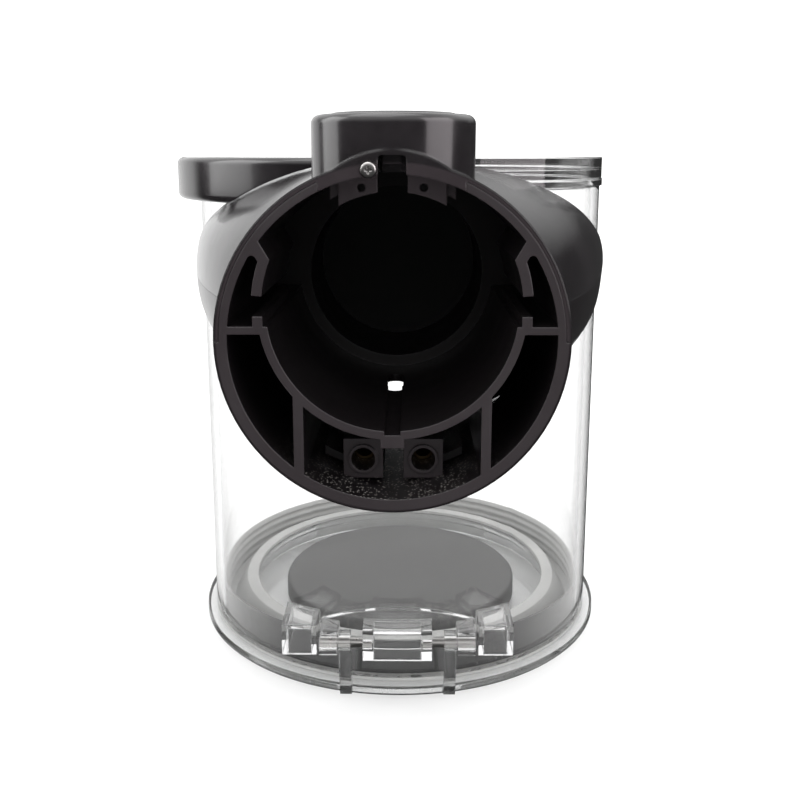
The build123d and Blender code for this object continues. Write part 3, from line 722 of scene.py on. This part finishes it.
class DUSTBIN_OT_button(bpy.types.Operator):
    """Press a finger dish into the release button"""
    bl_idname = "dustbin.button"
    bl_label = "Dish the button"

    def execute(self, context):
        sizes = context.scene.dust_bin_button
        button = bpy.data.objects.new("dished_button", NODES["release_button"].data.copy())
        context.scene.collection.objects.link(button)
        edit_all(button)
        bpy.ops.mesh.remove_doubles(threshold=MERGE_DISTANCE)
        bpy.ops.mesh.customdata_custom_splitnormals_clear()
        low, high = node_box("release_button")
        top = high.z - TOP_DEPTH
        select_faces(button, lambda middle, normal: normal.z > FLAT_TOP and middle.z > top)
        centre = ((low.x + high.x) / 2, (low.y + high.y) / 2, high.z)
        radius = (high.x - low.x) / 2
        reach = radius - sizes.dish_rim
        for step in range(sizes.dish_steps):
            share = 1 - step / sizes.dish_steps
            drop = 2 * sizes.dish_depth * share / sizes.dish_steps if step else 0
            scale = reach * share / radius
            bpy.ops.mesh.extrude_region_move(TRANSFORM_OT_translate={"value": (0, 0, -drop)})
            bpy.ops.transform.resize(value=(scale, scale, 1), center_override=centre)
            radius = reach * share
        close_piece()
        finish_piece(button, "button", "gloss_black", "gloss_black_plastic", "release_button")
        return {"FINISHED"}


class DUSTBIN_OT_spring(bpy.types.Operator):
    """Wind the button's return spring from round wire"""
    bl_idname = "dustbin.spring"
    bl_label = "Wind the spring"

    def execute(self, context):
        sizes = context.scene.dust_bin_button
        low, high = node_box("button_spring")
        wire = sizes.spring_wire
        deselect_all()
        bpy.ops.mesh.primitive_circle_add(vertices=WIRE_SIDES, radius=wire,
                                          location=((high.x - low.x) / 2 - wire, 0, 0),
                                          rotation=(pi / 2, 0, 0))
        spring = context.object
        spring.name = "round_wire_spring"
        bpy.ops.object.transform_apply(location=True, rotation=True)
        coil = spring.modifiers.new("coil", "SCREW")
        coil.axis = "Z"
        coil.angle = 2 * pi * sizes.spring_turns
        coil.screw_offset = high.z - low.z - 2 * wire
        coil.steps = coil.render_steps = int(COIL_STEPS * sizes.spring_turns)
        bpy.ops.object.modifier_apply(modifier=coil.name)
        spring.location = ((low.x + high.x) / 2, (low.y + high.y) / 2, low.z + wire)
        edit_all(spring)
        bpy.ops.mesh.fill_holes(sides=0)
        close_piece()
        finish_piece(spring, "housing", "steel", "bright_steel", "button_spring")
        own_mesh(spring)
        return {"FINISHED"}


def area_light(name, place, target, width, height, watts, tint=WHITE):
    """A soft rectangular light that faces a target and is seen only in glossy parts."""
    lamp = bpy.data.lights.new(name, "AREA")
    lamp.shape = "RECTANGLE"
    lamp.size = width
    lamp.size_y = height
    lamp.energy = watts
    lamp.color = tint
    panel = bpy.data.objects.new(name, lamp)
    panel.location = place
    facing = Vector(target) - Vector(place)
    panel.rotation_euler = facing.to_track_quat("-Z", "Y").to_euler()
    panel.visible_camera = False
    panel.visible_diffuse = False
    panel.visible_transmission = False
    bpy.context.scene.collection.objects.link(panel)


def studio_world(studio):
    """Strong white light on matt parts, white behind clear ones and a dim room in glossy ones."""
    world = bpy.data.worlds.new("studio_white")
    world.use_nodes = True
    tree = world.node_tree
    way = tree.nodes.new("ShaderNodeTexCoord").outputs["Generated"]
    path = tree.nodes.new("ShaderNodeLightPath").outputs
    climb = ramp(tree, part_along(tree, way, "Z"), *CEILING_RAMP, studio.room_wall,
                 studio.room_ceiling)
    behind = maths(tree, "DOT_PRODUCT", way, BACKDROP_WAY, kind="ShaderNodeVectorMath")
    backdrop = ramp(tree, behind, *BACKDROP_RAMP, high=studio.room_backdrop)
    room = add_node(tree, "ShaderNodeBackground", Color=WHITE,
                    Strength=maths(tree, "MAXIMUM", climb, backdrop))
    white = tree.nodes["Background"]
    set_inputs(tree, white, Color=WHITE,
               Strength=span(tree, path["Is Transmission Ray"], studio.room_light, 1.0))
    surface = mix_shaders(tree, path["Is Glossy Ray"], white.outputs["Background"],
                          room.outputs["Background"])
    set_inputs(tree, tree.nodes["World Output"], Surface=surface)
    return world


class DUSTBIN_OT_stage(bpy.types.Operator):
    """Set the pale floor, soft lights and camera"""
    bl_idname = "dustbin.stage"
    bl_label = "Set the stage"

    def execute(self, context):
        studio = context.scene.dust_bin_studio
        scene = context.scene
        deselect_all()
        bpy.ops.mesh.primitive_plane_add(size=studio.floor_size)
        floor = context.object
        floor.name = "pale_floor"
        material, tree, shader = new_material("pale_floor")
        set_inputs(tree, shader, Base_Color=studio.floor_tint, Roughness=1.0,
                   Specular_IOR_Level=0.0)
        floor.data.materials.append(material)
        floor.visible_glossy = False

        scene.world = studio_world(studio)
        area_light("left_panel", *LEFT_PANEL, studio.left_panel)
        area_light("right_panel", *RIGHT_PANEL, studio.right_panel, studio.right_tint)
        area_light("top_panel", *TOP_PANEL, studio.top_panel)

        lens = bpy.data.cameras.new("photo_camera")
        lens.lens = studio.lens
        lens.sensor_width = SENSOR_WIDTH
        lens.shift_y = studio.camera_shift
        lens.clip_start = NEAREST_SEEN
        camera = bpy.data.objects.new("photo_camera", lens)
        orbit = studio.camera_orbit
        camera.location = (studio.camera_distance * sin(orbit),
                           -studio.camera_distance * cos(orbit), studio.camera_height)
        camera.rotation_euler = (pi / 2 - studio.camera_pitch, 0, orbit)
        scene.collection.objects.link(camera)
        scene.camera = camera
        scene.view_settings.view_transform = "Standard"
        return {"FINISHED"}


class DUSTBIN_PT_panel(bpy.types.Panel):
    """Lists the steps that dress the bin, and the sizes and colours that they use"""
    bl_label = "Dust Bin"
    bl_idname = "DUSTBIN_PT_panel"
    bl_space_type = "VIEW_3D"
    bl_region_type = "UI"
    bl_category = "Dust Bin"

    def draw(self, context):
        for operator in OPERATORS:
            self.layout.operator(operator.bl_idname)
        for name, group in GROUPS:
            box = self.layout.box()
            for value in group.__annotations__:
                box.prop(getattr(context.scene, name), value)


GROUPS = (("dust_bin_finish", DustBinFinish), ("dust_bin_studio", DustBinStudio),
          ("dust_bin_rubber", DustBinRubber), ("dust_bin_screws", DustBinScrews),
          ("dust_bin_button", DustBinButton))
OPERATORS = (DUSTBIN_OT_finish_nodes, DUSTBIN_OT_rubber_rings, DUSTBIN_OT_screws,
             DUSTBIN_OT_button, DUSTBIN_OT_spring, DUSTBIN_OT_stage)
CLASSES = tuple(group for _, group in GROUPS) + OPERATORS + (DUSTBIN_PT_panel,)


def register():
    for cls in CLASSES:
        bpy.utils.register_class(cls)
    for name, group in GROUPS:
        setattr(bpy.types.Scene, name, PointerProperty(type=group))


def unregister():
    for name, _ in GROUPS:
        delattr(bpy.types.Scene, name)
    for cls in reversed(CLASSES):
        bpy.utils.unregister_class(cls)


def main():
    register()
    bpy.ops.dustbin.finish_nodes()
    bpy.ops.dustbin.rubber_rings()
    bpy.ops.dustbin.screws()
    bpy.ops.dustbin.button()
    bpy.ops.dustbin.spring()
    bpy.ops.dustbin.stage()


if __name__ == "__main__":
    main()
